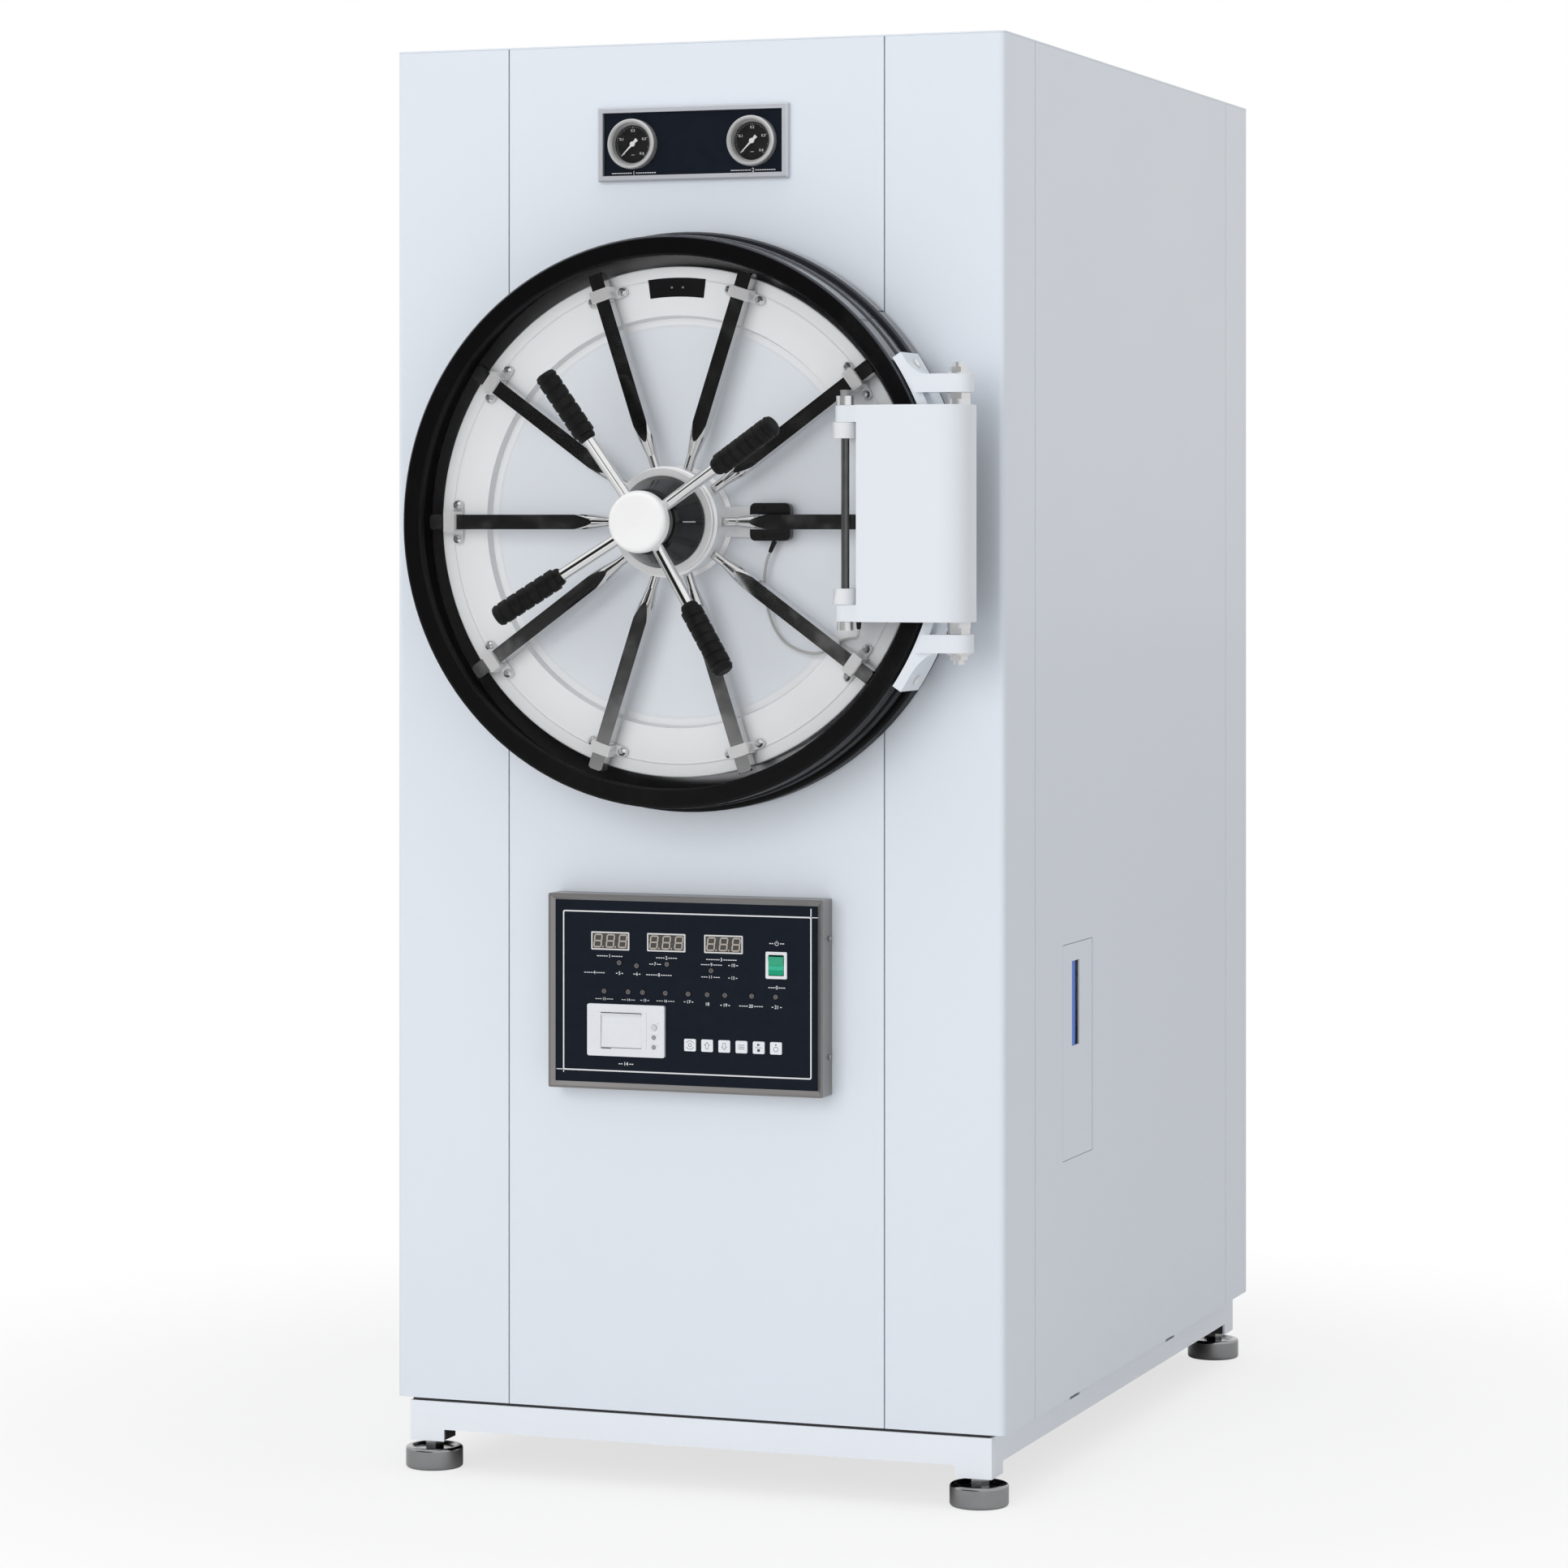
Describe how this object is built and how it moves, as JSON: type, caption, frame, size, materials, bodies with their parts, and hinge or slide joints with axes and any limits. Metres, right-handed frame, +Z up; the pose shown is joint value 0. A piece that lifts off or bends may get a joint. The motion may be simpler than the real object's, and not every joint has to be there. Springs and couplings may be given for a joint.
{
  "type": "horizontal autoclave",
  "caption": "Free-standing horizontal steam steriliser: white sheet-metal cabinet, round door on a hinge arm, radial locking bars in a black ring, gauge and control panels.",
  "frame": {"origin": "on the floor, in the middle of the whole width and depth", "axes": "+X to the right seen from the front, +Y into the machine, +Z up"},
  "size_m": [0.8, 1.415, 1.783],
  "materials": {
    "cabinet_paint": "satin powder coat",
    "skirt_paint": "satin powder coat",
    "frame_paint": "matt paint",
    "chamber_steel": "brushed",
    "insulation_wool": "wool under foil",
    "ring_paint": "gloss black enamel",
    "hinge_paint": "satin powder coat",
    "polished_steel": "polished",
    "rod_steel": "blackened",
    "frame_aluminium": "anodised",
    "panel_blue": "matt print",
    "gauge_steel": "satin",
    "gauge_glass": "clear",
    "needle_white": "matt",
    "printer_plastic": "moulded",
    "button_plastic": "moulded",
    "rocker_plastic": "gloss",
    "zinc_steel": "zinc plated",
    "pipe_steel": "drawn",
    "door_paint": "satin powder coat",
    "gasket_rubber": "silicone",
    "black_plastic": "gloss",
    "cable_sheath": "soft",
    "grip_rubber": "moulded",
    "bar_steel": "polished",
    "key_plastic": "moulded"
  },
  "bodies": {
    "cabinet": {"front_panels": "cabinet_paint", "corner_columns": "cabinet_paint", "side_panels": "cabinet_paint", "rear_panel": "cabinet_paint", "top_cover": "cabinet_paint", "base_skirt": "skirt_paint", "feet": "polished_steel", "base_frame": "frame_paint", "upper_frame": "frame_paint", "chamber": "chamber_steel", "insulation": "insulation_wool", "locking_ring": "ring_paint", "hinge_brackets": "hinge_paint", "hinge_pins": "polished_steel", "gauge_frame": "frame_aluminium", "gauge_plate": "panel_blue", "gauges": "gauge_steel", "gauge_glasses": "gauge_glass", "control_box": "frame_aluminium", "control_plate": "panel_blue", "printer_body": "printer_plastic", "electric_box": "zinc_steel", "steam_generator": "chamber_steel", "pipework": "pipe_steel"},
    "hinge_arm": {"hinge_arm": "hinge_paint", "door_pivot_rod": "rod_steel"},
    "door": {"door_plate": "door_paint", "door_gasket": "gasket_rubber", "lock_housing": "polished_steel", "bar_guides": "polished_steel", "guide_bolts": "polished_steel", "latch_plate": "black_plastic", "lock_sensor": "black_plastic", "sensor_cable": "cable_sheath"},
    "handwheel": {"scroll_plate": "gauge_steel", "handwheel_spider": "polished_steel", "handwheel_cone": "black_plastic", "handwheel_grips": "grip_rubber"},
    "needle_left": {"gauge_needle_left": "needle_white"},
    "needle_right": {"gauge_needle_right": "needle_white"},
    "printer_door": {"printer_door": "printer_plastic"},
    "printer_button": {"printer_button": "button_plastic"},
    "power_rocker": {"power_rocker": "rocker_plastic"},
    "service_flap": {"service_flap": "cabinet_paint"},
    "locking_bar_1": {"locking_bar_1": "bar_steel"},
    "locking_bar_2": {"locking_bar_2": "bar_steel"},
    "locking_bar_3": {"locking_bar_3": "bar_steel"},
    "locking_bar_4": {"locking_bar_4": "bar_steel"},
    "locking_bar_5": {"locking_bar_5": "bar_steel"},
    "locking_bar_6": {"locking_bar_6": "bar_steel"},
    "locking_bar_7": {"locking_bar_7": "bar_steel"},
    "locking_bar_8": {"locking_bar_8": "bar_steel"},
    "locking_bar_9": {"locking_bar_9": "bar_steel"},
    "locking_bar_10": {"locking_bar_10": "bar_steel"},
    "key_1": {"key_1": "key_plastic"},
    "key_2": {"key_2": "key_plastic"},
    "key_3": {"key_3": "key_plastic"},
    "key_4": {"key_4": "key_plastic"},
    "key_5": {"key_5": "key_plastic"},
    "key_6": {"key_6": "key_plastic"}
  },
  "joints": [
    {"name": "door_swing", "type": "hinge", "parent": "cabinet", "child": "hinge_arm", "pos_m": [0.371, -0.5825, 1.191], "axis": [0, 0, 1], "range_deg": [0, 100]},
    {"name": "door_float", "type": "hinge", "parent": "hinge_arm", "child": "door", "pos_m": [0.233, -0.5965, 1.191], "axis": [0, 0, 1], "range_deg": [0, 0.3]},
    {"name": "handwheel_turn", "type": "hinge", "parent": "door", "child": "handwheel", "pos_m": [0, -0.6615, 1.191], "axis": [0, 1, 0], "range_deg": [0, 45]},
    {"name": "bar_1_slide", "type": "slide", "parent": "door", "child": "locking_bar_1", "axis": [1, 0, 0], "range_m": [0, 0.0151]},
    {"name": "bar_2_slide", "type": "slide", "parent": "door", "child": "locking_bar_2", "axis": [0.809, 0, 0.5878], "range_m": [0, 0.0151]},
    {"name": "bar_3_slide", "type": "slide", "parent": "door", "child": "locking_bar_3", "axis": [0.309, 0, 0.9511], "range_m": [0, 0.0151]},
    {"name": "bar_4_slide", "type": "slide", "parent": "door", "child": "locking_bar_4", "axis": [-0.309, 0, 0.9511], "range_m": [0, 0.0151]},
    {"name": "bar_5_slide", "type": "slide", "parent": "door", "child": "locking_bar_5", "axis": [-0.809, 0, 0.5878], "range_m": [0, 0.0151]},
    {"name": "bar_6_slide", "type": "slide", "parent": "door", "child": "locking_bar_6", "axis": [-1, 0, 0], "range_m": [0, 0.0151]},
    {"name": "bar_7_slide", "type": "slide", "parent": "door", "child": "locking_bar_7", "axis": [-0.809, 0, -0.5878], "range_m": [0, 0.0151]},
    {"name": "bar_8_slide", "type": "slide", "parent": "door", "child": "locking_bar_8", "axis": [-0.309, 0, -0.9511], "range_m": [0, 0.0151]},
    {"name": "bar_9_slide", "type": "slide", "parent": "door", "child": "locking_bar_9", "axis": [0.309, 0, -0.9511], "range_m": [0, 0.0151]},
    {"name": "bar_10_slide", "type": "slide", "parent": "door", "child": "locking_bar_10", "axis": [0.809, 0, -0.5878], "range_m": [0, 0.0151]},
    {"name": "power_rocker_tilt", "type": "hinge", "parent": "cabinet", "child": "power_rocker", "pos_m": [0.119, -0.5223, 0.651], "axis": [-1, 0, 0], "range_deg": [0, 12]},
    {"name": "key_1_press", "type": "slide", "parent": "cabinet", "child": "key_1", "axis": [0, 1, 0], "range_m": [0, 0.001], "stiffness_N_per_m": 400, "springref_m": -0.001},
    {"name": "key_2_press", "type": "slide", "parent": "cabinet", "child": "key_2", "axis": [0, 1, 0], "range_m": [0, 0.001], "stiffness_N_per_m": 400, "springref_m": -0.001},
    {"name": "key_3_press", "type": "slide", "parent": "cabinet", "child": "key_3", "axis": [0, 1, 0], "range_m": [0, 0.001], "stiffness_N_per_m": 400, "springref_m": -0.001},
    {"name": "key_4_press", "type": "slide", "parent": "cabinet", "child": "key_4", "axis": [0, 1, 0], "range_m": [0, 0.001], "stiffness_N_per_m": 400, "springref_m": -0.001},
    {"name": "key_5_press", "type": "slide", "parent": "cabinet", "child": "key_5", "axis": [0, 1, 0], "range_m": [0, 0.001], "stiffness_N_per_m": 400, "springref_m": -0.001},
    {"name": "key_6_press", "type": "slide", "parent": "cabinet", "child": "key_6", "axis": [0, 1, 0], "range_m": [0, 0.001], "stiffness_N_per_m": 400, "springref_m": -0.001},
    {"name": "printer_door_tilt", "type": "hinge", "parent": "cabinet", "child": "printer_door", "pos_m": [-0.083, -0.525, 0.5453], "axis": [1, 0, 0], "range_deg": [0, 75]},
    {"name": "printer_button_press", "type": "slide", "parent": "cabinet", "child": "printer_button", "axis": [0, 1, 0], "range_m": [0, 0.0015], "stiffness_N_per_m": 400, "springref_m": -0.001},
    {"name": "needle_left_turn", "type": "hinge", "parent": "cabinet", "child": "needle_left", "pos_m": [-0.0785, -0.5005, 1.658], "axis": [0, 1, 0], "range_deg": [0, 270], "stiffness_Nm_per_rad": 0.001, "springref_deg": -11.46},
    {"name": "needle_right_turn", "type": "hinge", "parent": "cabinet", "child": "needle_right", "pos_m": [0.0785, -0.5005, 1.658], "axis": [0, 1, 0], "range_deg": [0, 270], "stiffness_Nm_per_rad": 0.001, "springref_deg": -11.46},
    {"name": "service_flap_swing", "type": "hinge", "parent": "cabinet", "child": "service_flap", "pos_m": [0.396, -0.1165, 0.525], "axis": [0, 0, 1], "range_deg": [0, 100]}
  ],
  "couplings": [
    {"joint": "bar_1_slide", "follows": "handwheel_turn", "m_per_rad": 0.019099},
    {"joint": "bar_2_slide", "follows": "handwheel_turn", "m_per_rad": 0.019099},
    {"joint": "bar_3_slide", "follows": "handwheel_turn", "m_per_rad": 0.019099},
    {"joint": "bar_4_slide", "follows": "handwheel_turn", "m_per_rad": 0.019099},
    {"joint": "bar_5_slide", "follows": "handwheel_turn", "m_per_rad": 0.019099},
    {"joint": "bar_6_slide", "follows": "handwheel_turn", "m_per_rad": 0.019099},
    {"joint": "bar_7_slide", "follows": "handwheel_turn", "m_per_rad": 0.019099},
    {"joint": "bar_8_slide", "follows": "handwheel_turn", "m_per_rad": 0.019099},
    {"joint": "bar_9_slide", "follows": "handwheel_turn", "m_per_rad": 0.019099},
    {"joint": "bar_10_slide", "follows": "handwheel_turn", "m_per_rad": 0.019099}
  ]
}
